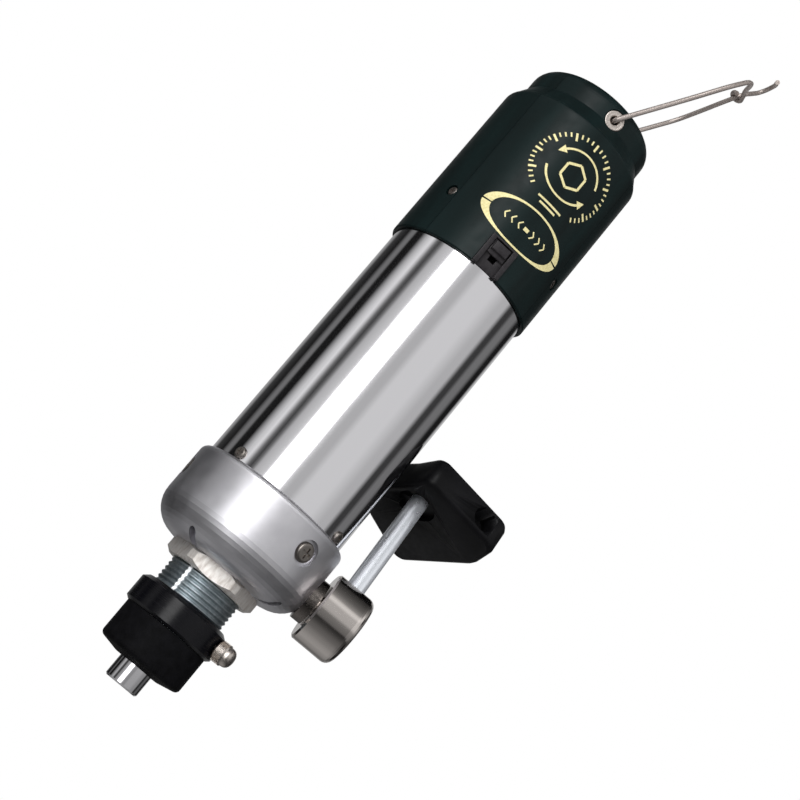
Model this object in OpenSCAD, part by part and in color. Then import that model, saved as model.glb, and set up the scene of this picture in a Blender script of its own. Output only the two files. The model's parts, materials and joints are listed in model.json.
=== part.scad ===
// Electric torque screwdriver, push-to-start, with a side swivel handle.
// Origin: centre of the bit sleeve's mouth. +Z runs up the tool, from the bit to
// the power socket. -Y is the side with the direction switch. Millimetres.

/* [Motor tube] */
// Outer diameter of the plated motor tube
tube_d = 48; // [46:0.5:52]
// Wall of the motor tube
tube_wall = 1.2; // [1:0.1:1.6]
// Length of tube between the front housing and the cover
tube_show = 87.5; // [86:0.5:110]

/* [Front housing] */
// How far the housing stands out from the tube
housing_step = 2.2; // [2:0.1:3]
// Height of the cast front housing
housing_h = 25.7; // [25.5:0.1:30]
// Radius of the housing's rounded lower shoulder
shoulder_r = 9.5; // [6:0.5:10]
// Thickness of the housing floor
floor_t = 3.2; // [2.5:0.1:4]
// Width of the four vent slots
vent_w = 2.6; // [1.6:0.1:3]
// Angles of the housing screws from the switch side
housing_screw_at = [30, 150, 270];
// Angle of the first vent slot from the swivel side
vent_at = 49; // [45:1:52]

/* [Threaded nose and lock nut] */
// Thread diameter of the nose
nose_d = 24; // [24:0.1:24.4]
// Bore of the nose, which holds the clutch spring
nose_bore = 20; // [19.8:0.1:20.4]
// Bare thread between the scale ring and the nut
thread_show = 8.6; // [6:0.1:12]
// Thickness of the lock nut
nut_h = 4.7; // [4:0.1:6]
// Nut size across its flats
nut_af = 28; // [27.5:0.5:32]

/* [Torque dial] */
// Diameter of the dial cup
dial_d = 28; // [27.5:0.5:30]
// Height of the dial cup
dial_h = 13.2; // [12:0.1:16]
// Diameter of the scale ring
ring_d = 30.6; // [30:0.1:34]
// Height of the scale ring
ring_h = 9; // [8:0.1:12]
// Lead of the nose thread
thread_lead = 1.5; // [1:0.25:1.5]
// Turns the dial can go up from rest
turns_up = 3; // [1:1:3]

/* [Bit drive] */
// Visible length of the bit sleeve
sleeve_show = 6.8; // [6:0.1:9]
// Outer diameter of the bit sleeve
sleeve_d = 11; // [10.8:0.1:11.6]
// Spindle diameter
spindle_d = 9; // [8.8:0.1:9.2]
// Hexagon of the bit socket across its flats
bit_af = 6.4; // [6.35:0.01:6.5]
// Depth of the hexagon socket
bit_depth = 11; // [9:0.5:11]
// Travel of the push-to-start spindle
push_travel = 2.5; // [1:0.1:2.5]
// Travel of the bit sleeve
sleeve_travel = 2.5; // [1.5:0.1:2.5]

/* [Clutch] */
// Diameter of the clutch balls
clutch_ball_d = 3; // [2.6:0.1:3.2]
// Number of clutch balls
clutch_ball_n = 6; // [4:1:8]
// Wire of the clutch spring
spring_wire = 2; // [1.6:0.1:2]
// Turns of the clutch spring
spring_turns = 7; // [5:1:8]

/* [Gears] */
// Gear module
gear_module = 0.8; // [0.74:0.01:0.82]
// Face width of the motor-side planets
first_face = 7.4; // [6:0.1:9]
// Face width of the output-side planets
output_face = 8; // [7:0.1:10]
// Thickness of each planet carrier
carrier_t = 3; // [2.5:0.1:4]
// Planet pin diameter
pin_d = 3; // [2.6:0.1:3.2]

/* [Motor] */
// Length of the motor can
can_h = 39.5; // [39:0.5:50]
// Diameter of the armature
armature_d = 30.8; // [26:0.2:31]
// Number of armature slots
slot_n = 12; // [8:2:14]
// Motor shaft diameter
shaft_d = 5; // [4.4:0.1:5.4]

/* [Cover] */
// How far the cover stands out from the tube
cover_step = 1.2; // [1:0.1:2]
// Height of the cover up to its shoulder
cover_h = 57.5; // [56:0.5:66]
// Height of the narrower top section above the shoulder
top_h = 9.2; // [9:0.1:18]
// How much the top section steps in
top_step = 3.2; // [2.6:0.1:3.6]
// Wall of the cover
cover_wall = 1.9; // [1.6:0.1:2.2]
// Radius of the top edge
top_edge = 4.5; // [3:0.1:5]
// Half angle of the front shell
seam_half = 51; // [48:1:52]
// Angle from the seam to the cover screws
cover_screw_in = 6; // [6:0.5:9]

/* [Direction switch] */
// Width of the switch frame
switch_w = 9.8; // [9:0.1:12]
// Height of the switch frame
switch_h = 10.6; // [10:0.1:12]
// Travel of the slider
slider_travel = 4; // [3:0.1:4]

/* [Bail] */
// Wire of the hanging bail
bail_wire = 1.6; // [1.4:0.1:2]
// Lean of the bail at rest
bail_lean = 31; // [20:1:40]
// Straight length of each leg
bail_leg = 47; // [40:1:60]

/* [Side handle] */
// Angle of the swivel from the switch side
swivel_at = 83; // [75:1:95]
// Height of the swivel above the housing's underside
swivel_up = 10.3; // [9.5:0.1:10.3]
// Diameter of the swivel barrel
barrel_d = 23; // [18:0.5:24]
// Length of the swivel barrel
barrel_len = 13.8; // [12:0.2:18]
// Diameter of the handle rod
rod_d = 6; // [5:0.1:7]
// Rod length from the swivel's centre to the knob
rod_show = 49; // [45:1:70]
// Lean of the rod at rest, away from the switch side
rod_lean = 22; // [20:1:40]
// Thickness of the hand knob
knob_t = 11; // [10.5:0.1:14]
// Diameter of the cross hole in the knob
knob_bore_d = 8; // [5:0.1:8]

/* [Hidden] */
$fn = 48;
fit = 0.05;          // radial clearance of seats and running fits
gap = 0.3;           // clearance between neighbours that do not touch

// ---- radii
tube_r = tube_d / 2;
tube_ri = tube_r - tube_wall;
inner_r = tube_ri - fit;             // whatever seats in the tube
housing_r = tube_r + housing_step;
housing_wall = 3.7;
housing_ri = housing_r - housing_wall;
vent_out = housing_r - 2.5 - vent_w / 2;
cover_r = tube_r + cover_step;
cover_ri = cover_r - cover_wall;
top_r = cover_r - top_step;
nose_r = nose_d / 2;
vent_in = nose_r + 2.9;
nose_ri = nose_bore / 2;
spindle_r = spindle_d / 2;
shaft_r = shaft_d / 2;

// ---- heights, from the bit end upwards
dial_z = sleeve_show;
ring_z = dial_z + dial_h;
ring_top = ring_z + ring_h;
nut_z = ring_top + thread_show;
house_z = nut_z + nut_h;
house_top = house_z + housing_h;
cover_z = house_top + tube_show;
shoulder_h = 5;
shoulder_z = cover_z + cover_h;
top_z = shoulder_z + shoulder_h + top_h;
tube_seat = 7;                       // depth of the tube in the housing
tube_z = house_top - tube_seat;
tube_lap = 8.7;                      // length of tube inside the cover
tube_top = cover_z + tube_lap;

// ---- dial and nose
dial_floor = 3.7;
dial_up = turns_up * thread_lead;
washer_t = 2;
nose_z = dial_z + dial_floor + dial_up + 2 * gap;
floor_top = house_z + floor_t;
nose_flange_h = 3.5;
nose_flange_r = nose_r + 4;

// ---- gear train
sun_n = 12;
planet_n = 15;
ring_n = 42;
pressure = 20;
backlash = 0.1;                      // taken off each tooth
sun_r = gear_module * sun_n / 2;
planet_r = gear_module * planet_n / 2;
gear_ring_r = gear_module * ring_n / 2;
centre_r = sun_r + planet_r;
addendum = 0.9 * gear_module;
dedendum = 1.25 * gear_module;
ring_tip_r = gear_ring_r - 0.69 * gear_module;
ring_root_r = gear_ring_r + 1.13 * gear_module;
pin_r = pin_d / 2;
carrier_r = centre_r + pin_r + 2.2;
side_gap = 0.6;                      // axial clearance beside the planets
plate_flange_h = 2.8;
plate_z = tube_z - plate_flange_h;
plate_spigot_h = 5;
plate_top = tube_z + plate_spigot_h;
output_plate_z = plate_top + 2;
output_gear_z = output_plate_z + carrier_t + side_gap;
first_plate_z = output_gear_z + output_face + 1.6;
first_gear_z = first_plate_z + carrier_t + side_gap;
pin_over = 0.8;                      // pin end beyond its planet
ring_gear_top = first_gear_z + first_face + 2.6;

// ---- motor
front_plate_h = 3.5;
can_z = ring_gear_top + front_plate_h;
can_top = can_z + can_h;
can_r = tube_ri - 1.3;
can_wall = 1.5;
cap_h = 13;
cap_top = can_top + cap_h;
cap_wall = 3.5;
armature_r = armature_d / 2;
armature_z = can_z + 7.5;
armature_h = can_top - armature_z - 4;
commutator_z = can_top + 1.8;
commutator_h = 6.4;
commutator_r = 6;
brush_w = 4;
magnet_t = min(3.6, can_r - can_wall - armature_r - 2 * gap);

// ---- spindle, clutch and push rod
hub_flange_z = floor_top + 0.5;
hub_flange_h = 3;
hub_r = 6;
clutch_r = nose_ri - 0.6;
clutch_ball_r = clutch_ball_d / 2;
clutch_ball_at = clutch_r - clutch_ball_r - 0.6;
plate_gap = 1.4;                     // between the hub flange and the clutch plate
clutch_t = 3.1;
clutch_z = hub_flange_z - plate_gap - clutch_t;
clutch_washer_t = 1.4;
clutch_washer_z = clutch_z - 0.1 - clutch_washer_t;
spring_r = clutch_r - spring_wire / 2 - 0.2;
spring_z = dial_z + dial_floor + washer_t + 0.1;
spring_top = clutch_washer_z - 0.1;
spindle_z = 0.8;
key_af = spindle_d - 1.2;            // hexagon that the clutch plate slides on
clutch_lift = 1.5;                   // how far the clutch plate gives way
key_z = clutch_z - clutch_lift - push_travel - 2 * gap;
key_top = hub_flange_z + 1;
journal_r = spindle_r - 0.7;
journal_top = key_top + 15;
hub_blind = journal_top + push_travel + 1;
rod_r = 1;
rod_clear = 0.08;
rod_top = cap_top + 2.4;

// ---- bit sleeve
sleeve_r = sleeve_d / 2;
sleeve_collar_r = sleeve_r + 0.9;
sleeve_collar_z = dial_z + 0.8;
sleeve_chamber_z = sleeve_collar_z + 0.3;
sleeve_chamber_r = sleeve_collar_r - 0.9;
sleeve_top = sleeve_collar_z + 6.6;
clip_t = 0.8;
clip_z = sleeve_chamber_z + 4.6;
clip_r = sleeve_chamber_r - 0.1;
tip_clip_z = spindle_z + 0.15;
tip_clip_t = 0.55;
tip_recess_r = spindle_r + 0.45;
tip_recess_h = 1.6;
groove_r = spindle_r - 0.3;
bit_ball_r = 1;
bit_ball_z = 3.4;
bit_ball_at = spindle_r - bit_ball_r;

// ---- dial details
dial_r = dial_d / 2;
ring_r = ring_d / 2;
dial_hole_r = sleeve_collar_r + 0.5;
washer_r = nose_ri - 0.3;
ring_screw_at = 62;
ring_screw_z = ring_z + ring_h / 2;
ring_screw_r = 1.5;
ring_head_r = 3.5;
ring_head_len = 5.6;

// ---- screws
housing_screw_z = plate_z + plate_flange_h / 2;
housing_head_r = 3.1;
housing_bore_r = 4.1;
screw_head_t = 1.3;
screw_sink = 1.4;
screw_r = 1.2;
tube_screw_at = [50, 130, 230, 310];
tube_screw_z = house_top + 1.9;
tube_head_r = 1.9;
cover_screw_at = seam_half + cover_screw_in;
cover_screw_z = cover_z + 15.8;
cover_head_r = 1.7;
cover_sink_r = cover_head_r + 0.25;
tab_z = tube_top + gap;
tab_top = cover_screw_z + 5.5;
tab_r = cover_ri - 0.15;
tab_t = 2;

// ---- direction switch
switch_z = cover_z + 0.2;
rail_w = 1.6;
frame_face = cover_r + 0.4;
frame_floor = cover_r - 1;
frame_back = tube_ri - 0.3;
slider_h = 4.8;
slider_z = switch_z + switch_h - 0.8 - slider_h;
slider_w = switch_w - 2 * rail_w - 0.4;
stem_w = 2;
stem_z = slider_z + slider_h - 2.5;
block_t = 5.4;

// ---- top end
socket_r = 8.5;
socket_cup_r = 6.6;
socket_depth = 9;
pin_n = 4;
pin_at = 4.2;
eyelet_x = 2;
eyelet_z = shoulder_z + 7.3;
eyelet_r = 3.3;
eyelet_seat = sqrt(pow(top_r, 2) - pow(eyelet_x + eyelet_r, 2)) - 0.15;
eyelet_t = 0.5;
eyelet_barrel_r = 1.9;
eyelet_len = 2.9;
bail_y = max(eyelet_seat + eyelet_t, top_r) + bail_wire / 2 + 0.1;

// ---- electronics
board_y = 3.6;
board_t = 1.6;
board_w = 30;
board_z = cap_top;
board_top = shoulder_z - 8;
start_z = rod_top + 3.6;
start_h = 10;
plunger_r = 1.5;
plunger_z = rod_top + gap;

// ---- side handle
swivel_z = house_z + swivel_up;
journal_pin_r = 3.5;
bush_r = 5.2;
bush_flange_r = 7.2;
bush_seat = housing_r - 1.2;
bush_face = housing_r + 2.2;
bush_in = housing_ri - 1.7;
barrel_x = bush_face + gap;
barrel_end = barrel_x + barrel_len;
rod_x = barrel_x + 0.48 * barrel_len;
barrel_r = barrel_d / 2;
handle_rod_r = rod_d / 2;
rod_foot = barrel_r - 2.5;           // rod end below the swivel's centre
clip_ring_t = 0.6;

// ---------------------------------------------------------------- helpers

// Points along an arc, from angle a0 to a1
function arc(c, r, a0, a1, n = 8) =
    [for (i = [0:n]) let (a = a0 + (a1 - a0) * i / n) c + r * [cos(a), sin(a)]];

function unit(v) = v / norm(v);

// Rounds one corner of an outline: p is [x, y, radius]
function corner(p0, p1, p2, n) =
    let (
        q = [p1.x, p1.y],
        a = unit([p0.x, p0.y] - q),
        b = unit([p2.x, p2.y] - q),
        half = acos(a * b) / 2,
        r = p1[2],
        c = q + unit(a + b) * r / sin(half),
        s = q + a * r / tan(half) - c,
        e = q + b * r / tan(half) - c,
        from = atan2(s.y, s.x),
        turn = (atan2(e.y, e.x) - from + 540) % 360 - 180
    )
    [for (i = [0:n]) c + r * [cos(from + turn * i / n), sin(from + turn * i / n)]];

// An outline with every corner rounded
function rounded(points, n = 6) =
    let (m = len(points))
    [for (i = [0:m - 1]) each corner(points[(i + m - 1) % m], points[i], points[(i + 1) % m], n)];

// Moves a counter-clockwise outline inwards by d
function inset(points, d) =
    let (m = len(points))
    [for (i = [0:m - 1])
        let (t = unit(points[(i + 1) % m] - points[(i + m - 1) % m]))
        points[i] + d * [-t.y, t.x]];

// Skins rings of equal length, from first to last, with flat ends
module skin(rings) {
    n = len(rings[0]);
    m = len(rings);
    polyhedron(
        points = [for (ring = rings) each ring],
        faces = concat(
            [[for (i = [0:n - 1]) i]],
            [[for (i = [n - 1:-1:0]) (m - 1) * n + i]],
            [for (k = [0:m - 2], i = [0:n - 1])
                [k * n + i, (k + 1) * n + i, (k + 1) * n + (i + 1) % n, k * n + (i + 1) % n]]
        )
    );
}

// A wire of diameter d along a path; side is a direction never parallel to it
module wire(path, d, side, sides = 8) {
    m = len(path);
    skin([for (k = [0:m - 1])
        let (
            t = unit(path[min(k + 1, m - 1)] - path[max(k - 1, 0)]),
            u = unit(side - (side * t) * t),
            v = cross(t, u)
        )
        [for (i = [0:sides - 1])
            let (a = 360 * i / sides)
            path[k] + d / 2 * (cos(a) * u + sin(a) * v)]]);
}

// Path of a coil spring whose end turns lie flat
function coil(r, z0, z1, wire_d, turns, steps) =
    let (rise = z1 - z0 - wire_d, flat = 0.8)
    [for (i = [0:turns * steps])
        let (
            a = i / steps,
            share = min(1, max(0, (a - flat) / (turns - 2 * flat)))
        )
        [r * cos(360 * a), r * sin(360 * a), z0 + wire_d / 2 + rise * share]];

module tube(r, ri, z0, z1) {
    translate([0, 0, z0]) difference() {
        cylinder(r = r, h = z1 - z0);
        translate([0, 0, -1]) cylinder(r = ri, h = z1 - z0 + 2);
    }
}

module rod(r, z0, z1) {
    translate([0, 0, z0]) cylinder(r = r, h = z1 - z0);
}

// Puts +Z on the radial line at angle a from the switch side, at height z
module radial(a, z, r = 0) {
    rotate([0, 0, a - 90]) translate([r, 0, z]) rotate([0, 90, 0]) children();
}

// Sector of the plan between two angles from the switch side
module wedge(a0, a1, z0, z1) {
    reach = 3 * tube_d;
    steps = ceil((a1 - a0) / 60);
    translate([0, 0, z0]) linear_extrude(z1 - z0)
        polygon(concat([[0, 0]], arc([0, 0], reach, a0 - 90, a1 - 90, steps)));
}

// Involute function, in radians
function involute(a) = tan(a) - a * PI / 180;

// Half angle of a tooth at radius r
function half_tooth(n, r, thick) =
    let (rp = gear_module * n / 2, rb = rp * cos(pressure))
    (thick / (2 * rp) + involute(pressure) - involute(acos(min(1, rb / max(r, rb))))) * 180 / PI;

// Outline of a gear with n teeth
module gear_outline(n, tip, root, thick, phase = 0) {
    rb = gear_module * n / 2 * cos(pressure);
    low = max(root, rb);
    steps = 4;
    radii = concat(root < low ? [root] : [], [for (i = [0:steps]) low + (tip - low) * i / steps]);
    last = len(radii) - 1;
    polygon([for (k = [0:n - 1])
        let (c = phase + 360 * k / n)
        each concat(
            [for (i = [0:last]) let (a = c - half_tooth(n, radii[i], thick))
                radii[i] * [cos(a), sin(a)]],
            [for (i = [last:-1:0]) let (a = c + half_tooth(n, radii[i], thick))
                radii[i] * [cos(a), sin(a)]]
        )]);
}

tooth_thick = PI * gear_module / 2 - backlash;

module sun_outline() {
    gear_outline(sun_n, sun_r + addendum, sun_r - dedendum, tooth_thick);
}

// One planet at its place around the sun, in mesh with the sun and the ring
module planet(k, z, face) {
    rotate([0, 0, 120 * k]) translate([centre_r, 0, z]) difference() {
        linear_extrude(face)
            gear_outline(planet_n, planet_r + addendum, planet_r - dedendum, tooth_thick);
        translate([0, 0, -1]) cylinder(r = pin_r + fit, h = face + 2);
    }
}

module carrier_pins(z, h) {
    for (k = [0:2]) rotate([0, 0, 120 * k]) translate([centre_r, 0, 0]) rod(pin_r, z - 1, z + h);
}

// Ball bearing: two rings and a row of balls
module ball_bearing(ri, ro, z0, z1, n = 8) {
    race = (ro - ri) * 0.27;
    mid = (ri + ro) / 2;
    ball_r = (ro - ri) / 2 - race - fit;
    tube(ri + race, ri, z0, z1);
    tube(ro, ro - race, z0, z1);
    for (k = [0:n - 1]) rotate([0, 0, 360 * k / n])
        translate([mid, 0, (z0 + z1) / 2]) sphere(r = min(ball_r, (z1 - z0) / 2), $fn = 24);
}

// Cross-recess pan head with its shank pointing inwards; the head's top is at +Z
module pan_screw(head_r, head_t, shank_r, shank_len) {
    difference() {
        union() {
            rotate_extrude() polygon(concat(
                [[0, 0], [head_r, 0]],
                arc([head_r - head_t * 0.7, head_t * 0.3], head_t * 0.7, 0, 90, 5),
                [[0, head_t]]
            ));
            translate([0, 0, -shank_len]) cylinder(r = shank_r, h = shank_len + 0.1);
        }
        for (a = [0, 90]) rotate([0, 0, a])
            translate([-head_r * 0.55, -head_r * 0.12, head_t * 0.55])
                cube([head_r * 1.1, head_r * 0.24, head_t]);
    }
}

// ---------------------------------------------------------------- shells

module motor_tube() color("gainsboro") difference() {
    tube(tube_r, tube_ri, tube_z, tube_top);
    for (a = tube_screw_at) radial(a, tube_screw_z) cylinder(r = screw_r + 0.1, h = 2 * tube_r);
    // opening for the direction switch
    translate([-switch_w / 2 - 1, -tube_r - 1, switch_z - 0.1])
        cube([switch_w + 2, tube_r, tube_lap + 1]);
}

module front_housing() color("silver") difference() {
    rotate_extrude($fn = 96) polygon(concat(
        [[nose_r + fit, house_z]],
        arc([housing_r - shoulder_r, house_z + shoulder_r], shoulder_r, -90, 0, 10),
        arc([housing_r - 2, house_top - 2], 2, 0, 86, 5),
        [[tube_r + fit, house_top], [tube_r + fit, plate_z], [housing_ri, plate_z]],
        arc([housing_ri - shoulder_r + floor_t, floor_top + shoulder_r - floor_t],
            shoulder_r - floor_t, 0, -90, 6),
        [[nose_r + fit, floor_top]]
    ));
    // radial vent slots through the floor and up the shoulder
    for (k = [0:3]) rotate([0, 0, vent_at + 90 * k]) translate([0, 0, house_z - 1]) {
        translate([vent_in, -vent_w / 2, 0]) cube([vent_out - vent_in, vent_w, floor_t + 3.2]);
        for (r = [vent_in, vent_out]) translate([r, 0, 0])
            cylinder(d = vent_w, h = floor_t + 3.2, $fn = 24);
    }
    for (a = housing_screw_at) radial(a, housing_screw_z) {
        translate([0, 0, housing_r - screw_sink]) cylinder(r = housing_bore_r, h = 5);
        translate([0, 0, housing_ri - 1]) cylinder(r = screw_r + 0.1, h = housing_wall + 2);
    }
    radial(swivel_at, swivel_z) {
        cylinder(r = bush_r, h = housing_r + 2);
        translate([0, 0, bush_seat]) cylinder(r = bush_flange_r + 0.1, h = 5);
    }
}

module housing_screws() color("gainsboro")
    for (a = housing_screw_at) radial(a, housing_screw_z, housing_r - screw_sink)
        pan_screw(housing_head_r, screw_head_t, screw_r, 5);

module tube_screws() color("gainsboro")
    for (a = tube_screw_at) radial(a, tube_screw_z, tube_r)
        pan_screw(tube_head_r, 0.9, screw_r, tube_wall + 2.4);

module threaded_nose() color("slategray") union() {
    tube(nose_r, nose_ri, nose_z, floor_top + nose_flange_h);
    tube(nose_flange_r, nose_r - 0.5, floor_top, floor_top + nose_flange_h);
}

module lock_nut() color("tan") difference() {
    intersection() {
        rotate([0, 0, -10]) translate([0, 0, nut_z])
            cylinder(r = nut_af / sqrt(3), h = nut_h, $fn = 6);
        rotate_extrude($fn = 96) polygon([
            [0, nut_z], [nut_af / 2, nut_z], [nut_af / 2 + 1.5, nut_z + 1.2],
            [nut_af / 2 + 1.5, house_z - 0.8], [nut_af / 2 + 0.6, house_z], [0, house_z]
        ]);
    }
    translate([0, 0, nut_z - 1]) cylinder(r = nose_r + fit, h = nut_h + 2);
}

// The whole cover as one revolved shell, before it is split
module cover_shell() {
    slope = 45;
    rotate_extrude($fn = 96) polygon(concat(
        [[tube_r + 0.1, cover_z], [cover_r - 0.4, cover_z], [cover_r, cover_z + 0.4]],
        arc([cover_r - 2, shoulder_z - 1], 2, 0, slope, 4),
        [[top_r, shoulder_z + shoulder_h]],
        arc([top_r - top_edge, top_z - top_edge], top_edge, 0, 90, 8),
        [[socket_r + fit, top_z], [socket_r + fit, top_z - cover_wall]],
        arc([top_r - top_edge, top_z - top_edge], top_edge - cover_wall, 90, 0, 6),
        [[top_r - cover_wall, shoulder_z + shoulder_h - 1.5], [cover_ri, shoulder_z - 2.5],
         [cover_ri, tube_top + gap], [tube_r + 0.1, tube_top + gap]]
    ));
}

module cover_cuts() {
    // window for the direction switch, open at the cover's lower rim
    translate([-switch_w / 2 - fit, -2 * tube_r, cover_z - 1])
        cube([switch_w + 2 * fit, 2 * tube_r, switch_h + 1.2 + fit]);
    // seats and holes of the bail eyelets
    for (s = [-1, 1]) translate([eyelet_x, 0, eyelet_z]) rotate([-90 * s, 0, 0]) {
        cylinder(r = eyelet_barrel_r, h = 2 * top_r);
        translate([0, 0, eyelet_seat]) cylinder(r = eyelet_r + 0.15, h = 5);
    }
    for (s = [-1, 1]) radial(s * cover_screw_at, cover_screw_z) {
        translate([0, 0, cover_r - screw_sink + 0.2]) cylinder(r = cover_sink_r, h = 5);
        cylinder(r = screw_r + fit, h = cover_r);
    }
}

module front_cover() color("darkslategray") difference() {
    union() {
        intersection() {
            cover_shell();
            wedge(-seam_half, seam_half, cover_z - 1, top_z + 1);
        }
        // tabs that reach behind the rear shell and take its screws
        for (s = [-1, 1]) {
            intersection() {
                tube(tab_r, tab_r - tab_t, tab_z, tab_top);
                wedge(s * (seam_half + 5) - 14, s * (seam_half + 5) + 14, tab_z, tab_top);
            }
            intersection() {
                tube(cover_ri + 0.5, tab_r - tab_t, tab_z, tab_top);
                wedge(s * (seam_half - 5) - 4, s * (seam_half - 5) + 4, tab_z, tab_top);
            }
        }
    }
    cover_cuts();
}

module rear_cover() color("darkslategray") difference() {
    intersection() {
        cover_shell();
        wedge(seam_half + 0.3, 360 - seam_half - 0.3, cover_z - 1, top_z + 1);
    }
    cover_cuts();
}

module cover_screws() color("gainsboro")
    for (s = [-1, 1]) radial(s * cover_screw_at, cover_screw_z, cover_r - screw_sink + 0.2)
        pan_screw(cover_head_r, 0.9, screw_r, 3.4);

module bail_eyelets() color("lightgray")
    for (s = [-1, 1]) translate([eyelet_x, 0, eyelet_z]) rotate([-90 * s, 0, 0]) difference() {
        union() {
            translate([0, 0, eyelet_seat]) cylinder(r = eyelet_r, h = eyelet_t);
            translate([0, 0, eyelet_seat - eyelet_len])
                cylinder(r = eyelet_barrel_r - fit / 2, h = eyelet_len + 0.1);
        }
        translate([0, 0, eyelet_seat - eyelet_len - 1])
            cylinder(r = bail_wire / 2 + fit, h = eyelet_len + 4);
        translate([0, 0, eyelet_seat + 0.1]) cylinder(r = 1.3, h = 2);
    }

// ---------------------------------------------------------------- switches

module switch_frame() color([0.2, 0.19, 0.2]) difference() {
    translate([-switch_w / 2, -frame_face, switch_z])
        cube([switch_w, frame_face - frame_back, switch_h]);
    // channel between the rails
    translate([-switch_w / 2 + rail_w, -frame_face - 1, switch_z - 1])
        cube([switch_w - 2 * rail_w, frame_face - frame_floor + 1, switch_h + 0.4]);
    // slot for the slider's stem
    translate([-stem_w / 2 - 0.2, -frame_face - 1, stem_z - slider_travel])
        cube([stem_w + 0.4, 10, slider_travel + 2.4]);
}

module direction_switch() color([0.1, 0.1, 0.12]) difference() {
    translate([-switch_w / 2, -frame_back, switch_z]) cube([switch_w, block_t, switch_h]);
    translate([-stem_w / 2 - 0.2, -frame_back - 1, stem_z - slider_travel])
        cube([stem_w + 0.4, 3.2, slider_travel + 2.4]);
}

module direction_slider() color([0.16, 0.15, 0.16]) union() {
    translate([-slider_w / 2, -frame_floor - 0.8, slider_z]) cube([slider_w, 0.7, slider_h]);
    translate([-slider_w / 2 + 0.4, -frame_floor - 1.8, slider_z + slider_h - 3.4])
        cube([slider_w - 0.8, 1.1, 3]);
    translate([-stem_w / 2, -frame_floor - 0.2, stem_z + 0.2])
        cube([stem_w, frame_floor - frame_back + 1.8, 2]);
}

module circuit_board() color("darkgreen") union() {
    difference() {
        translate([-board_w / 2, board_y, board_z]) cube([board_w, board_t, board_top - board_z]);
        for (x = [-1, 1], z = [board_z + 6, board_top - 4]) translate([x * (board_w / 2 - 3), board_y - 1, z])
            rotate([-90, 0, 0]) cylinder(r = 1.1, h = 4);
    }
    // capacitors and a driver chip on the rear face
    for (k = [0:2]) translate([-9 + 9 * k, board_y + board_t - 0.05, board_z + 36])
        rotate([-90, 0, 0]) cylinder(r = 3.2, h = 9);
    translate([-6, board_y + board_t - 0.05, board_z + 12]) cube([12, 2.4, 12]);
}

module start_switch() color([0.12, 0.12, 0.14]) difference() {
    translate([-10, board_y - 7.1, start_z]) cube([20, 7.05, start_h]);
    rod(plunger_r + fit, start_z - 1, start_z + 3 + push_travel);
}

module start_plunger() color("crimson") rod(plunger_r, plunger_z, start_z + 2.6);

module power_socket() color([0.1, 0.1, 0.1]) difference() {
    union() {
        rod(socket_r, top_z - cover_wall - 10, top_z + 0.6);
        rod(socket_r + 1.6, top_z, top_z + 1.4);
        rod(socket_r + 2, top_z - cover_wall - 3, top_z - cover_wall);
    }
    translate([0, 0, top_z + 1.4 - socket_depth]) cylinder(r = socket_cup_r, h = socket_depth + 1);
    for (k = [0:pin_n - 1]) rotate([0, 0, 45 + 360 * k / pin_n]) translate([pin_at, 0, 0])
        rod(0.6, top_z - cover_wall - 11, top_z);
}

module socket_pins() color("gold")
    for (k = [0:pin_n - 1]) rotate([0, 0, 45 + 360 * k / pin_n]) translate([pin_at, 0, 0])
        rod(0.6, top_z - cover_wall - 12.5, top_z - 1.6);

// ---------------------------------------------------------------- motor

module motor_can() color("dimgray") tube(can_r, can_r - can_wall, can_z, can_top);

module magnets() color([0.2, 0.2, 0.22]) for (a = [0, 180]) intersection() {
    tube(can_r - can_wall, can_r - can_wall - magnet_t, armature_z - 1, armature_z + armature_h + 1);
    wedge(a + 20, a + 160, armature_z - 2, armature_z + armature_h + 2);
}

module motor_front_plate() color("silver") difference() {
    rod(inner_r, ring_gear_top, can_z);
    rod(6, ring_gear_top + 0.6, can_z + 1);
    rod(shaft_r + 1, ring_gear_top - 1, can_z);
    for (k = [0:3]) rotate([0, 0, 45 + 90 * k]) translate([14, 0, ring_gear_top - 1])
        cylinder(r = 2.5, h = front_plate_h + 2);
}

module motor_rear_cap() color([0.15, 0.14, 0.13]) difference() {
    union() {
        difference() {
            rod(can_r, can_top, cap_top);
            rod(can_r - cap_wall, can_top - 1, cap_top - cap_wall);
        }
        rod(inner_r, cap_top - 2.5, cap_top - 0.5);
        // brush holders
        for (s = [-1, 1]) translate([s > 0 ? commutator_r + 1 : -can_r + 1, -brush_w / 2 - 1, can_top + 1])
            cube([can_r - commutator_r - 2, brush_w + 2, cap_h - cap_wall - 0.9]);
    }
    rod(6, cap_top - 3.2, cap_top + 1);
    rod(shaft_r + 1, cap_top - cap_wall - 1, cap_top);
    for (s = [-1, 1]) translate([s > 0 ? commutator_r - 1 : -15, -brush_w / 2 - fit, commutator_z + 1])
        cube([16 - commutator_r, brush_w + 2 * fit, brush_w + 2 * fit]);
    // vents
    for (k = [0:5]) rotate([0, 0, 60 * k + 30]) translate([12.5, 0, cap_top - cap_wall - 1])
        cylinder(r = 2, h = cap_wall + 2);
}

module carbon_brushes() color([0.1, 0.1, 0.1])
    for (s = [-1, 1]) translate([s > 0 ? commutator_r + fit : -14, -brush_w / 2, commutator_z + 1 + fit])
        cube([14 - commutator_r - fit, brush_w, brush_w]);

module motor_bearings() color("lightsteelblue") {
    ball_bearing(shaft_r + fit, 6 - fit / 2, ring_gear_top + 0.65, can_z);
    ball_bearing(shaft_r + fit, 6 - fit / 2, cap_top - 3.15, cap_top);
}

module rotor_shaft() color("silver") difference() {
    union() {
        rod(shaft_r, first_gear_z + 0.2, cap_top - 0.2);
        translate([0, 0, first_gear_z + 0.2]) linear_extrude(first_face + 1) sun_outline();
    }
    rod(rod_r + rod_clear, first_gear_z - 1, cap_top + 1);
}

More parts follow.
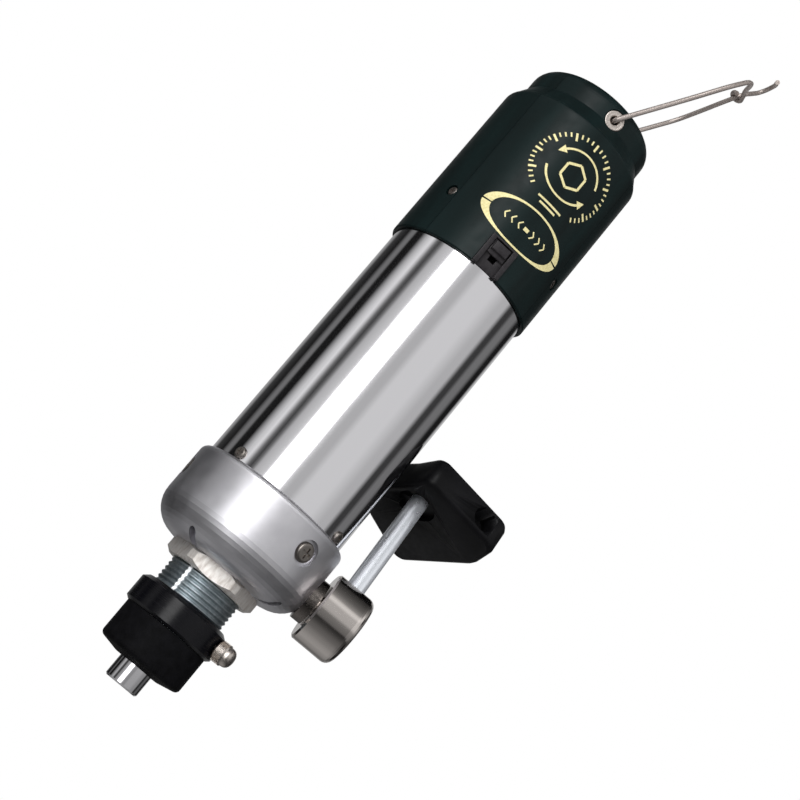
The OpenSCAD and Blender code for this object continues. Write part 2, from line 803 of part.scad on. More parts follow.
module armature_core() color("slategray") difference() {
    rod(armature_r, armature_z, armature_z + armature_h);
    rod(shaft_r + 0.02, armature_z - 1, armature_z + armature_h + 1);
    for (k = [0:slot_n - 1]) rotate([0, 0, 360 * k / slot_n]) {
        translate([armature_r - 3, 0, 0]) rod(1.9, armature_z - 1, armature_z + armature_h + 1);
        translate([armature_r - 3, -0.6, armature_z - 1]) cube([4, 1.2, armature_h + 2]);
    }
}

module windings() color("chocolate") union() {
    for (z = [armature_z - 4.6, armature_z + armature_h + 0.1]) {
        tube(armature_r - 1.2, shaft_r + 0.6, z, z + 4.5);
    }
    for (k = [0:slot_n - 1]) rotate([0, 0, 360 * k / slot_n]) translate([armature_r - 3, 0, 0])
        rod(1.75, armature_z - 0.5, armature_z + armature_h + 0.5);
}

module commutator() color("peru") difference() {
    tube(commutator_r, shaft_r + 0.02, commutator_z, commutator_z + commutator_h);
    for (k = [0:slot_n - 1]) rotate([0, 0, 360 * k / slot_n])
        translate([commutator_r - 0.8, -0.2, commutator_z - 1]) cube([2, 0.4, commutator_h + 2]);
}

// ---------------------------------------------------------------- gears

module ring_gear() color("darkgoldenrod") difference() {
    rod(inner_r, plate_top, ring_gear_top);
    translate([0, 0, plate_top - 1]) linear_extrude(ring_gear_top - plate_top + 2)
        gear_outline(ring_n, ring_root_r, ring_tip_r, PI * gear_module / 2 + backlash);
    for (a = tube_screw_at) radial(a, tube_screw_z, tube_r - 4) cylinder(r = screw_r, h = 6);
}

module gear_plate() color("silver") difference() {
    union() {
        rod(tube_r - fit, plate_z, tube_z);
        rod(inner_r, tube_z - 1, plate_top);
    }
    rod(12, tube_z - 1, plate_top + 1);
    rod(hub_r + 3, plate_z - 1, tube_z);
    for (a = housing_screw_at) radial(a, housing_screw_z, tube_r - 5) cylinder(r = screw_r, h = 8);
}

module output_bearing() color("lightsteelblue")
    ball_bearing(hub_r + fit, 12 - fit / 2, tube_z - 0.95, plate_top - 0.1, 12);

module first_carrier() color("steelblue") difference() {
    union() {
        rod(carrier_r, first_plate_z, first_plate_z + carrier_t);
        translate([0, 0, output_gear_z]) linear_extrude(first_plate_z - output_gear_z + 0.5)
            sun_outline();
        carrier_pins(first_plate_z + carrier_t, side_gap + first_face + pin_over);
    }
    rod(rod_r + rod_clear, output_gear_z - 1, first_gear_z + 1);
}

module output_carrier() color("steelblue") difference() {
    union() {
        rod(carrier_r, output_plate_z, output_plate_z + carrier_t);
        rod(hub_r, hub_flange_z, output_plate_z + 1);
        rod(clutch_r, hub_flange_z, hub_flange_z + hub_flange_h);
        carrier_pins(output_plate_z + carrier_t, side_gap + output_face + pin_over);
    }
    rod(spindle_r + 0.1, hub_flange_z - 1, key_top + push_travel + 0.5);
    rod(journal_r + fit, hub_flange_z, hub_blind);
    rod(rod_r + rod_clear, hub_blind - 1, output_gear_z + 1);
    for (k = [0:clutch_ball_n - 1]) rotate([0, 0, 360 * k / clutch_ball_n])
        translate([clutch_ball_at, 0, hub_flange_z - plate_gap / 2]) sphere(r = clutch_ball_r + fit);
}

module clutch_balls() color("lightsteelblue")
    for (k = [0:clutch_ball_n - 1]) rotate([0, 0, 360 * k / clutch_ball_n])
        translate([clutch_ball_at, 0, hub_flange_z - plate_gap / 2]) sphere(r = clutch_ball_r);

module clutch_plate() color("slategray") difference() {
    rod(clutch_r, clutch_z, clutch_z + clutch_t);
    translate([0, 0, clutch_z - 1]) cylinder(r = (key_af / 2 + fit) / cos(30), h = clutch_t + 2, $fn = 6);
    for (k = [0:clutch_ball_n - 1]) rotate([0, 0, 360 * k / clutch_ball_n])
        translate([clutch_ball_at, 0, hub_flange_z - plate_gap / 2]) sphere(r = clutch_ball_r + fit);
}

module clutch_washer() color("silver")
    tube(clutch_r, spring_r - spring_wire / 2, clutch_washer_z, clutch_washer_z + clutch_washer_t);

module clutch_spring() color("dimgray")
    wire(coil(spring_r, spring_z, spring_top, spring_wire, spring_turns, 16), spring_wire, [0, 0, 1]);

module first_planet_a() color("khaki") planet(0, first_gear_z, first_face);
module first_planet_b() color("khaki") planet(1, first_gear_z, first_face);
module first_planet_c() color("khaki") planet(2, first_gear_z, first_face);
module output_planet_a() color("khaki") planet(0, output_gear_z, output_face);
module output_planet_b() color("khaki") planet(1, output_gear_z, output_face);
module output_planet_c() color("khaki") planet(2, output_gear_z, output_face);

// ---------------------------------------------------------------- bit end

module thrust_washer() color("silver")
    tube(washer_r, dial_hole_r - 0.1, dial_z + dial_floor + fit, dial_z + dial_floor + washer_t);

module torque_dial() color([0.09, 0.09, 0.1]) rotate_extrude($fn = 96) polygon(concat(
    [[dial_hole_r, dial_z + 1.4], [dial_hole_r + 0.7, dial_z]],
    arc([dial_r - 1.6, dial_z + 2.6], 1.6, -78, 0, 5),
    [[dial_r, ring_z - 0.15], [nose_r + fit, ring_z - 0.15],
     [nose_r + fit, dial_z + dial_floor], [dial_hole_r, dial_z + dial_floor]]
));

module scale_ring() color([0.07, 0.07, 0.08]) difference() {
    rotate_extrude($fn = 96) polygon([
        [nose_r + fit, ring_z], [ring_r - 1, ring_z], [ring_r, ring_z + 0.8],
        [ring_r, ring_top - 1.3], [ring_r - 1.6, ring_top], [nose_r + fit, ring_top]
    ]);
    radial(ring_screw_at, ring_screw_z) cylinder(r = ring_screw_r, h = 2 * ring_r);
}

module ring_screw() color("gainsboro") radial(ring_screw_at, ring_screw_z) union() {
    rod(ring_screw_r, nose_r + 0.15, ring_r + 1);
    rotate_extrude() polygon(concat(
        [[0, ring_r + 0.3], [ring_head_r - 0.5, ring_r + 0.3], [ring_head_r, ring_r + 0.8]],
        [[ring_head_r, ring_r + 2.2], [ring_head_r - 0.5, ring_r + 2.5]],
        arc([ring_head_r - 2.1, ring_r + 0.3 + ring_head_len - 2], 2, 0, 90, 6),
        [[0, ring_r + 0.3 + ring_head_len]]
    ));
}

module spindle() color("silver") difference() {
    union() {
        rod(spindle_r, spindle_z, key_z);
        translate([0, 0, key_z - 0.1]) cylinder(r = key_af / 2 / cos(30), h = key_top - key_z + 0.1, $fn = 6);
        rod(journal_r, key_top - 0.1, journal_top);
    }
    translate([0, 0, spindle_z - 1]) cylinder(r = bit_af / 2 / cos(30), h = bit_depth + 1, $fn = 6);
    for (s = [-90, 90]) rotate([s, 0, 0]) translate([0, 0, 0])
        translate([0, s < 0 ? -bit_ball_z : bit_ball_z, 0]) cylinder(r = bit_ball_r + fit, h = 2 * spindle_r);
    tube(spindle_r + 1, groove_r, tip_clip_z, tip_clip_z + tip_clip_t);
    tube(spindle_r + 1, groove_r, clip_z, clip_z + clip_t);
    rod(rod_r + 0.02, journal_top - 4, journal_top + 1);
}

module push_rod() color("gray") rod(rod_r, journal_top - 3.9, rod_top);

module bit_balls() color("lightsteelblue")
    for (s = [-1, 1]) translate([0, s * bit_ball_at, bit_ball_z]) sphere(r = bit_ball_r);

module spindle_clips() color("dimgray") {
    tube(spindle_r + 0.38, groove_r, tip_clip_z, tip_clip_z + tip_clip_t);
    tube(clip_r, groove_r, clip_z, clip_z + clip_t);
}

module bit_sleeve() color("gainsboro") rotate_extrude($fn = 96) polygon([
    [tip_recess_r, 0], [sleeve_r - 0.5, 0], [sleeve_r, 0.5],
    [sleeve_r, sleeve_collar_z], [sleeve_collar_r, sleeve_collar_z],
    [sleeve_collar_r, sleeve_top], [sleeve_chamber_r, sleeve_top],
    [sleeve_chamber_r, sleeve_chamber_z], [spindle_r + fit, sleeve_chamber_z],
    [spindle_r + fit, tip_recess_h], [tip_recess_r, tip_recess_h]
]);

module sleeve_spring() color("dimgray")
    wire(coil((spindle_r + sleeve_chamber_r) / 2, sleeve_chamber_z + 0.1, clip_z - 0.1, 0.45, 4, 14),
        0.45, [0, 0, 1], 6);

// ---------------------------------------------------------------- bail

// A point of the bail: p along the leg, q across the tool, off out of its plane
function bail_point(p, q, off = 0) =
    [eyelet_x, q, eyelet_z] + p * [sin(bail_lean), 0, cos(bail_lean)]
    + off * [cos(bail_lean), 0, -sin(bail_lean)];

// Smooth curve through points, n steps each
function smooth(p, n = 4) =
    let (m = len(p) - 1)
    concat([for (i = [0:m - 1])
        let (a = p[max(i - 1, 0)], b = p[i], c = p[i + 1], d = p[min(i + 2, m)])
        each [for (k = [0:n - 1])
            let (t = k / n)
            0.5 * (2 * b + (c - a) * t + (2 * a - 5 * b + 4 * c - d) * t * t
                + (3 * b - a - 3 * c + d) * t * t * t)]],
        [p[m]]);

// A leg's pivot pin and the elbow that turns it upwards, on side s
function elbow(s) =
    let (r = 1)
    concat(
        [bail_point(0, s * (eyelet_seat - eyelet_len - 0.6))],
        [for (a = [0:18:90]) bail_point(r * (1 - cos(a)), s * (bail_y - r + r * sin(a)))]
    );

module bail() color("rosybrown") {
    normal = [cos(bail_lean), 0, -sin(bail_lean)];
    q = bail_y;
    union() {
        // front leg, whose end joins the rear leg
        wire(concat(elbow(-1), smooth([
            bail_point(bail_leg / 2, -q), bail_point(bail_leg - 1, -q + 0.3),
            bail_point(bail_leg + 4, -q + 5), bail_point(bail_leg + 8, -q + 12),
            bail_point(bail_leg + 13, 1), bail_point(bail_leg + 16, 8.6)
        ])), bail_wire, normal, 10);
        // rear leg, which ends in a flared hook
        wire(concat(elbow(1), smooth([
            bail_point(bail_leg / 2, q + 1), bail_point(bail_leg - 8, q + 2.4),
            bail_point(bail_leg, q + 2.4), bail_point(bail_leg + 5, q - 2),
            bail_point(bail_leg + 12, q - 11),
            bail_point(bail_leg + 16, 8.7), bail_point(bail_leg + 23, 13),
            bail_point(bail_leg + 28, 15.5), bail_point(bail_leg + 29.5, 11),
            bail_point(bail_leg + 26, 1.5)
        ])), bail_wire, normal, 10);
    }
}

// ---------------------------------------------------------------- side handle

module handle_bush() color("gainsboro") radial(swivel_at, swivel_z) difference() {
    union() {
        rod(bush_r - fit, bush_in, bush_seat + 1);
        rod(bush_flange_r, bush_seat, bush_face);
    }
    rod(journal_pin_r + fit, bush_in - 1, bush_face + 1);
}

// Puts +Z on the handle rod's axis, with its zero at the swivel's centre
module on_handle() {
    rotate([0, 0, swivel_at - 90]) translate([rod_x, 0, swivel_z])
        rotate([-rod_lean, 0, 0]) children();
}

module swivel_barrel() color("silver") difference() {
    radial(swivel_at, swivel_z) difference() {
        union() {
            rod(journal_pin_r, bush_in - 1.6, barrel_x + 1);
            rotate_extrude($fn = 96) polygon(concat(
                [[0, barrel_x], [barrel_r - 0.6, barrel_x], [barrel_r, barrel_x + 0.6]],
                arc([barrel_r - 2.5, barrel_end - 2.5], 2.5, 0, 90, 6),
                [[0, barrel_end]]
            ));
        }
        tube(journal_pin_r + 1, journal_pin_r - 0.5, bush_in - 0.1 - clip_ring_t, bush_in - 0.1);
    }
    on_handle() translate([0, 0, -rod_foot - gap])
        cylinder(r = handle_rod_r + fit, h = 3 * barrel_r);
}

module swivel_clip() color("dimgray") radial(swivel_at, swivel_z)
    tube(journal_pin_r + 1.1, journal_pin_r - 0.5, bush_in - 0.1 - clip_ring_t, bush_in - 0.1);

module handle_rod() color("aliceblue") on_handle() union() {
    translate([0, 0, -rod_foot]) cylinder(r1 = handle_rod_r - 0.5, r2 = handle_rod_r, h = 0.5);
    rod(handle_rod_r, 0.5 - rod_foot, rod_show + knob_t - 2);
}

// Lobes of the hand knob, u away from the tool and v away from the switch side
knob_lobes = [
    [-3.5, -15, 4], [26.8, -9, 5], [26.2, 5.5, 8], [9.5, 33, 4.2], [-9, 21.5, 6], [-15, 8, 5],
    [-8, -4, 9]
];

module hand_knob() color([0.08, 0.08, 0.08]) {
    plan = rounded(knob_lobes, 8);
    steps = [[0, 1.6], [0.5, 0.7], [1.5, 0], [knob_t - 1.8, 0], [knob_t - 0.6, 0.5], [knob_t, 1.8]];
    mouth = (knob_lobes[0] * 0.28 + knob_lobes[1] * 0.72);
    side = unit([knob_lobes[1].y - knob_lobes[0].y, knob_lobes[0].x - knob_lobes[1].x]);
    on_handle() translate([0, 0, rod_show]) difference() {
        skin([for (s = steps) [for (p = inset(plan, s[1])) [p.x, p.y, s[0]]]]);
        translate([0, 0, -1]) cylinder(r = handle_rod_r + 3.5, h = 3);
        translate([0, 0, -1]) cylinder(r = handle_rod_r, h = knob_t - 1);
        // cross hole for a carabiner or a steadying pin
        translate([mouth.x, mouth.y, knob_t / 2])
            rotate([0, 90, atan2(side.y, side.x)])
                translate([0, 0, -7.5]) cylinder(d = knob_bore_d, h = 12);
    }
}

// ---------------------------------------------------------------- assembly

motor_tube();
front_housing();
housing_screws();
tube_screws();
threaded_nose();
lock_nut();
front_cover();
rear_cover();
cover_screws();
bail_eyelets();
switch_frame();
direction_switch();
circuit_board();
start_switch();
power_socket();
socket_pins();
motor_can();
magnets();
motor_front_plate();
motor_rear_cap();
carbon_brushes();
motor_bearings();
ring_gear();
gear_plate();
output_bearing();
handle_bush();
clutch_spring();
direction_slider();
start_plunger();
bail();
swivel_barrel();
swivel_clip();
handle_rod();
hand_knob();
thrust_washer();
torque_dial();
scale_ring();
ring_screw();
rotor_shaft();
armature_core();
windings();
commutator();
first_carrier();
first_planet_a();
first_planet_b();
first_planet_c();
output_carrier();
output_planet_a();
output_planet_b();
output_planet_c();
clutch_balls();
clutch_plate();
clutch_washer();
spindle();
push_rod();
bit_balls();
spindle_clips();
bit_sleeve();
sleeve_spring();
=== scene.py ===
import json
from math import radians, sin, cos, pi, atan2, hypot
import bpy
import bmesh
from mathutils import Matrix, Vector


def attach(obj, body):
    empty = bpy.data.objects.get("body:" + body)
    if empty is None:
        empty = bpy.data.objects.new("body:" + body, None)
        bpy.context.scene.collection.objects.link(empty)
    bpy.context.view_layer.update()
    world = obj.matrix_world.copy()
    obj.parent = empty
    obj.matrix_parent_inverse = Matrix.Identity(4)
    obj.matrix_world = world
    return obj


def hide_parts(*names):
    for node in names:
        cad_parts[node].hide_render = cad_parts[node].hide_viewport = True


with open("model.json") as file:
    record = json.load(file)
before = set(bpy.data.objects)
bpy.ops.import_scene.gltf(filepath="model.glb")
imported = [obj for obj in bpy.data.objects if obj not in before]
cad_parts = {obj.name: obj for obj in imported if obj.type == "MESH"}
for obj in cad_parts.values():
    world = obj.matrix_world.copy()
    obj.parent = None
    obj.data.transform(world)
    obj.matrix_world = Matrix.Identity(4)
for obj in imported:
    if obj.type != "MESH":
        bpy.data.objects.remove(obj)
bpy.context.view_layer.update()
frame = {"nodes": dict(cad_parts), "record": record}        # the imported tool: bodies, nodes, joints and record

mm = 0.001
print("frame loaded:", len(frame["nodes"]), "nodes")


def clearSelection():
    if bpy.context.object and bpy.context.object.mode != "OBJECT":
        bpy.ops.object.mode_set(mode="OBJECT")
    bpy.ops.object.select_all(action="DESELECT")


def editMode(piece, chosen=None):
    # goes into edit mode with only the faces selected that pass the test
    clearSelection()
    piece.select_set(True)
    bpy.context.view_layer.objects.active = piece
    bpy.ops.object.mode_set(mode="EDIT")
    bpy.ops.mesh.select_mode(type="FACE")
    bpy.ops.mesh.select_all(action="DESELECT")
    if chosen:
        mesh = bmesh.from_edit_mesh(piece.data)
        mesh.faces.ensure_lookup_table()
        for face in mesh.faces:
            face.select = bool(chosen(face))
        mesh.select_flush(True)
        bmesh.update_edit_mesh(piece.data)


def named(name):
    piece = bpy.context.object
    piece.name = name
    piece.data.name = name
    return piece


def addModifier(piece, kind, **settings):
    modifier = piece.modifiers.new(kind.title(), kind)
    for key, value in settings.items():
        setattr(modifier, key, value)
    clearSelection()
    piece.select_set(True)
    bpy.context.view_layer.objects.active = piece
    bpy.ops.object.modifier_apply(modifier=modifier.name)


def placed(piece, matrix=None):
    # puts the place into the mesh, so the object sits at the origin
    piece.matrix_world = (matrix or Matrix()) @ piece.matrix_world
    bpy.context.view_layer.update()
    clearSelection()
    piece.select_set(True)
    bpy.context.view_layer.objects.active = piece
    bpy.ops.object.transform_apply(location=True, rotation=True, scale=True)
    return piece


def finished(piece, body, material, nodes=(), angle=35):
    placed(piece)
    bpy.ops.object.shade_smooth_by_angle(angle=radians(angle))
    piece.data.materials.clear()
    piece.data.materials.append(material)
    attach(piece, body)
    if nodes:
        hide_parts(*nodes)
    return piece


def turned(name, profile, steps=96):
    # a closed profile of (radius, height) in mm, spun round Z as on a lathe
    clearSelection()
    bpy.ops.mesh.primitive_circle_add(vertices=len(profile), radius=1, location=(0, 0, 0))
    piece = named(name)
    for vertex, (r, z) in zip(piece.data.vertices, profile):
        vertex.co = (r * mm, 0, z * mm)
    bpy.ops.object.mode_set(mode="EDIT")
    bpy.ops.mesh.select_all(action="SELECT")
    bpy.ops.mesh.spin(steps=steps, angle=2 * pi, center=(0, 0, 0), axis=(0, 0, 1))
    bpy.ops.mesh.select_all(action="SELECT")
    bpy.ops.mesh.remove_doubles(threshold=0.000001)
    bpy.ops.mesh.normals_make_consistent(inside=False)
    bpy.ops.object.mode_set(mode="OBJECT")
    return piece


def roundCorner(centre, r, start, end, steps=5):
    return [(centre[0] + r * cos(radians(start + (end - start) * k / steps)),
             centre[1] + r * sin(radians(start + (end - start) * k / steps))) for k in range(steps + 1)]


def joined(name, pieces):
    clearSelection()
    for piece in pieces:
        piece.select_set(True)
    bpy.context.view_layer.objects.active = pieces[0]
    if len(pieces) > 1:
        bpy.ops.object.join()
    return named(name)


def radial(angle, z, out=0):
    # +Z of the piece points outwards at that angle from the switch side
    return (Matrix.Rotation(radians(angle - 90), 4, "Z") @ Matrix.Translation((out * mm, 0, z * mm))
            @ Matrix.Rotation(radians(90), 4, "Y"))


def toLinear(colour):
    # sRGB hex to the linear colour that the shader works in
    parts = [int(colour[i:i + 2], 16) / 255 for i in (1, 3, 5)]
    return tuple(c / 12.92 if c <= 0.04045 else ((c + 0.055) / 1.055) ** 2.4 for c in parts) + (1.0,)


def addNode(tree, kind, values=None, links=None, stops=(), **settings):
    # stops are the places and shades of a ramp, each shade a hex colour or a grey level
    node = tree.nodes.new(kind)
    for key, value in settings.items():
        setattr(node, key, value)
    for key, value in (values or {}).items():
        node.inputs[key].default_value = value
    for key, source in (links or {}).items():
        tree.links.new(source, node.inputs[key])
    if stops:
        while len(node.color_ramp.elements) < len(stops):
            node.color_ramp.elements.new(0.5)
        for element, (at, shade) in zip(node.color_ramp.elements, stops):
            element.position = at
            element.color = toLinear(shade) if isinstance(shade, str) else (shade,) * 3 + (1,)
    return node


def startMaterial(name, colour, metallic, roughness, **sockets):
    material = bpy.data.materials.new(name)
    material.use_nodes = True
    tree = material.node_tree
    shader = tree.nodes["Principled BSDF"]
    shader.inputs["Base Color"].default_value = toLinear(colour)
    shader.inputs["Metallic"].default_value = metallic
    shader.inputs["Roughness"].default_value = roughness
    for key, value in sockets.items():
        shader.inputs[key.replace("_", " ")].default_value = value
    place = addNode(tree, "ShaderNodeTexCoord").outputs["Object"]
    return material, tree, shader, place


def pattern(tree, place, size, detail=2.0, rough=0.5, stretch=(1, 1, 1)):
    # blotches of size mm, drawn out along each axis whose stretch is under 1
    drawn = addNode(tree, "ShaderNodeMapping", {"Scale": stretch}, {"Vector": place})
    blotches = addNode(tree, "ShaderNodeTexNoise",
                       {"Scale": 1000 / size, "Detail": detail, "Roughness": rough},
                       {"Vector": drawn.outputs["Vector"]})
    return blotches.outputs["Fac"]


def patterned(tree, shader, tone=None, gloss=None, relief=None):
    # tone and gloss pair a pattern with the stops it runs through
    # relief is a pattern with a strength and a depth in mm
    for socket, pair in (("Base Color", tone), ("Roughness", gloss)):
        if pair:
            shades = addNode(tree, "ShaderNodeValToRGB", links={"Fac": pair[0]}, stops=pair[1])
            tree.links.new(shades.outputs["Color"], shader.inputs[socket])
    if relief:
        height, strength, depth = relief
        bump = addNode(tree, "ShaderNodeBump", {"Strength": strength, "Distance": depth * mm},
                       {"Height": height})
        tree.links.new(bump.outputs["Normal"], shader.inputs["Normal"])


def chromedSteel():
    # bright chrome on drawn tube: a mirror with faint lengthwise drawing lines and a haze of polish marks
    material, tree, shader, place = startMaterial("chromedSteel", "#e6e5e8", 1.0, 0.08)
    lines = pattern(tree, place, 0.9, 3, stretch=(1, 1, 0.02))     # lines 0.9 mm apart
    haze = pattern(tree, place, 14, 3)
    both = addNode(tree, "ShaderNodeMath", links={0: lines, 1: haze}, operation="MULTIPLY").outputs[0]
    patterned(tree, shader, gloss=(both, [(0.1, 0.05), (0.5, 0.13)]), relief=(lines, 0.06, 0.02))
    return material


def satinZinc():
    # satin-plated zinc casting: soft highlights, a fine blasted grain of 0.3 mm and cloudy plating
    material, tree, shader, place = startMaterial("satinPlatedZinc", "#e2e1e6", 1.0, 0.44)
    patterned(tree, shader, tone=(pattern(tree, place, 9, 3), [(0.3, "#d8d7dc"), (0.7, "#e9e8ec")]),
              gloss=(pattern(tree, place, 5, 4), [(0.3, 0.4), (0.75, 0.5)]),
              relief=(pattern(tree, place, 0.3), 0.18, 0.02))
    return material


def zincThread():
    # zinc-plated cut thread: blue-grey, dull in the roots, with a painted index line down one side
    index = {"angle": -39, "width": 1.15, "colour": "#f2f4f5"}
    material, tree, shader, place = startMaterial("zincPlatedThread", "#a9b4b9", 0.9, 0.44)
    aligned = addNode(tree, "ShaderNodeMapping", {"Rotation": (0, 0, radians(-index["angle"]))},
                      {"Vector": place})
    axes = addNode(tree, "ShaderNodeSeparateXYZ", links={"Vector": aligned.outputs["Vector"]})
    side = addNode(tree, "ShaderNodeMath", links={0: axes.outputs["X"]}, operation="ABSOLUTE").outputs[0]
    near = addNode(tree, "ShaderNodeMath", {1: index["width"] / 2 * mm}, {0: side}, operation="LESS_THAN")
    front = addNode(tree, "ShaderNodeMath", {1: 0.0}, {0: axes.outputs["Y"]}, operation="LESS_THAN")
    line = addNode(tree, "ShaderNodeMath", links={0: near.outputs[0], 1: front.outputs[0]},
                   operation="MULTIPLY").outputs[0]
    grain = addNode(tree, "ShaderNodeValToRGB", links={"Fac": pattern(tree, place, 1.2, 4)},
                    stops=[(0.3, "#9aa6ac"), (0.7, "#bcc5c9")]).outputs["Color"]
    inked = addNode(tree, "ShaderNodeMix", {"B": toLinear(index["colour"])}, {"Factor": line, "A": grain},
                    data_type="RGBA")
    tree.links.new(inked.outputs["Result"], shader.inputs["Base Color"])
    bare = addNode(tree, "ShaderNodeMath", {0: 1.0}, {1: line}, operation="SUBTRACT").outputs[0]
    tree.links.new(bare, shader.inputs["Metallic"])
    patterned(tree, shader, relief=(pattern(tree, place, 0.5), 0.15, 0.03))
    return material


def brushedNickel():
    # nickel-plated nut: warm grey, its flats with coarse upright strokes 1.1 mm wide and cloudy plating
    material, tree, shader, place = startMaterial("brushedNickel", "#dfdad5", 0.85, 0.5)
    strokes = pattern(tree, place, 1.1, 4, 0.6, (1, 1, 0.35))
    patterned(tree, shader, tone=(strokes, [(0.3, "#cbc4bd"), (0.5, "#dfdad5"), (0.7, "#ebe8e4")]),
              gloss=(strokes, [(0.3, 0.6), (0.7, 0.42)]), relief=(strokes, 0.1, 0.03))
    return material


def polishedSteel():
    # turned and polished steel: bright, with very fine turning rings across the axis
    material, tree, shader, place = startMaterial("polishedSteel", "#dcd5d0", 1.0, 0.11)
    rings = pattern(tree, place, 0.5, stretch=(0.02, 1, 1))
    patterned(tree, shader, gloss=(rings, [(0.3, 0.08), (0.7, 0.15)]), relief=(rings, 0.05, 0.02))
    return material


def drawnWire():
    # drawn steel wire: warm grey, dull, with faint die marks and slightly darker stretches
    material, tree, shader, place = startMaterial("drawnSteelWire", "#b6aca6", 0.8, 0.45)
    patterned(tree, shader, tone=(pattern(tree, place, 14, 3), [(0.3, "#aea49e"), (0.6, "#bdb3ad")]),
              relief=(pattern(tree, place, 0.5, 3), 0.03, 0.02))
    return material


def mouldedAbs():
    # moulded ABS cover: green-black, half gloss, with a fine spark texture of 0.35 mm
    material, tree, shader, place = startMaterial("mouldedAbs", "#081313", 0.0, 0.4, Specular_IOR_Level=0.16)
    tones = pattern(tree, place, 7, 3, stretch=(1, 1, 0.15))
    patterned(tree, shader, tone=(tones, [(0.3, "#060f0f"), (0.7, "#0b1818")]),
              gloss=(pattern(tree, place, 3, 4), [(0.3, 0.36), (0.7, 0.48)]),
              relief=(pattern(tree, place, 0.35), 0.12, 0.02))
    return material


def matteNylon():
    # moulded nylon with glass fibre: soft black, rough, with a 0.4 mm grain
    material, tree, shader, place = startMaterial("matteNylon", "#080809", 0.0, 0.6, Specular_IOR_Level=0.06)
    patterned(tree, shader, tone=(pattern(tree, place, 2.5, 4), [(0.3, "#060607"), (0.7, "#0c0c0e")]),
              relief=(pattern(tree, place, 0.4, 3), 0.3, 0.04))
    return material


def blackAnodised():
    # polished and black anodised aluminium: near-black with clear soft reflections and turning marks
    material, tree, shader, place = startMaterial("blackAnodisedAluminium", "#060609", 0.0, 0.18,
                                                  Specular_IOR_Level=0.25)
    rings = pattern(tree, place, 0.3, stretch=(0.02, 0.02, 1))
    patterned(tree, shader, gloss=(rings, [(0.3, 0.16), (0.7, 0.3)]), relief=(rings, 0.05, 0.02))
    return material


def phenolic():
    # pressed phenolic resin: dense black, smooth faces with a trace of flow marks
    material, tree, shader, place = startMaterial("pressedPhenolic", "#0a0a0b", 0.0, 0.38,
                                                  Specular_IOR_Level=0.12)
    patterned(tree, shader, tone=(pattern(tree, place, 11, 4), [(0.3, "#080809"), (0.7, "#0f0f11")]),
              gloss=(pattern(tree, place, 2, 4), [(0.3, 0.3), (0.7, 0.46)]),
              relief=(pattern(tree, place, 0.5, 3), 0.12, 0.03))
    return material


def acetal():
    # moulded acetal of the switch: grey-black with a waxy sheen
    material, tree, shader, place = startMaterial("mouldedAcetal", "#201e20", 0.0, 0.4,
                                                  Specular_IOR_Level=0.25)
    patterned(tree, shader, tone=(pattern(tree, place, 1.5, 3), [(0.3, "#1b191b"), (0.7, "#262426")]),
              relief=(pattern(tree, place, 0.3), 0.15, 0.02))
    return material


def printedGold():
    # screen-printed ink with bronze powder: pale gold, slightly uneven cover
    material, tree, shader, place = startMaterial("printedGold", "#c4bb8a", 0.15, 0.45,
                                                  Specular_IOR_Level=0.3)
    cover = pattern(tree, place, 0.6, 3)
    patterned(tree, shader, tone=(cover, [(0.25, "#b8ae7a"), (0.6, "#cdc494")]), relief=(cover, 0.1, 0.01))
    return material


def machined(name, colour, metallic, rough, size=0.6, contrast=0.12, relief=0.15):
    # the colour of the real stuff with fine tool marks, mostly for inner pieces
    material, tree, shader, place = startMaterial(name, colour, metallic, rough)
    marks = pattern(tree, place, size, 4)
    glossy, dull = max(0.03, rough - contrast), min(1, rough + contrast)
    patterned(tree, shader, gloss=(marks, [(0.3, glossy), (0.7, dull)]), relief=(marks, relief, 0.03))
    return material


paint = {
    "plated_steel": chromedSteel(), "cast_alloy": satinZinc(), "machined_steel": polishedSteel(),
    "zinc_steel": zincThread(), "nickel_nut": brushedNickel(), "black_plastic": matteNylon(),
    "black_anodised": blackAnodised(), "cover_plastic": mouldedAbs(), "bail_wire": drawnWire(),
    "switch_plastic": acetal(),
    "spring_steel": machined("oiledSpringSteel", "#5a5a5c", 1.0, 0.35),
    "gear_steel": machined("groundGearSteel", "#a4a4a6", 1.0, 0.28, 0.4),
    "sintered_brass": machined("turnedBrass", "#d8b867", 1.0, 0.25, 0.4),
    "copper_wire": machined("enamelledCopper", "#b8693c", 1.0, 0.3, 0.5),
    "carbon": machined("pressedCarbon", "#1c1c1d", 0.0, 0.7, 0.3),
    "ferrite": machined("laminatedSteel", "#3c3c3e", 0.6, 0.5, 0.35),
    "board": machined("lacqueredBoard", "#155a2a", 0.0, 0.3, 1.5),
}
knobPaint = phenolic()
goldInk = printedGold()
eyeletSteel = machined("rolledEyeletSteel", "#cdc4bd", 1.0, 0.36, 0.4)   # rolled rim, dull plating
knurledNickel = machined("knurledNickel", "#cfc7c0", 1.0, 0.3, 0.5)      # the ring screw's rubbed plating
screwSteel = machined("rolledScrewSteel", "#8f8984", 1.0, 0.38, 0.4)     # dull, slightly warm screw heads
ownPaint = {
    "tube_screws": screwSteel, "housing_screws": screwSteel, "cover_screws": screwSteel,
    "handle_bush": machined("bushSteelPaintedShade", "#77716d", 1.0, 0.22),                  # darker steel colour: painted shade of the narrow gap between housing and knob
    "handle_rod": machined("groundRodSteel", "#f0f4fa", 0.8, 0.3, 3, 0.04, 0.01),     # bright-plated, bluish
}
for name, node in frame["nodes"].items():
    slotName = [s["material_slot"] for s in frame["record"]["subparts"] if s["node"] == name][0]
    for slot in node.material_slots:
        slot.material = ownPaint.get(name, paint[slotName])
print("materials made")


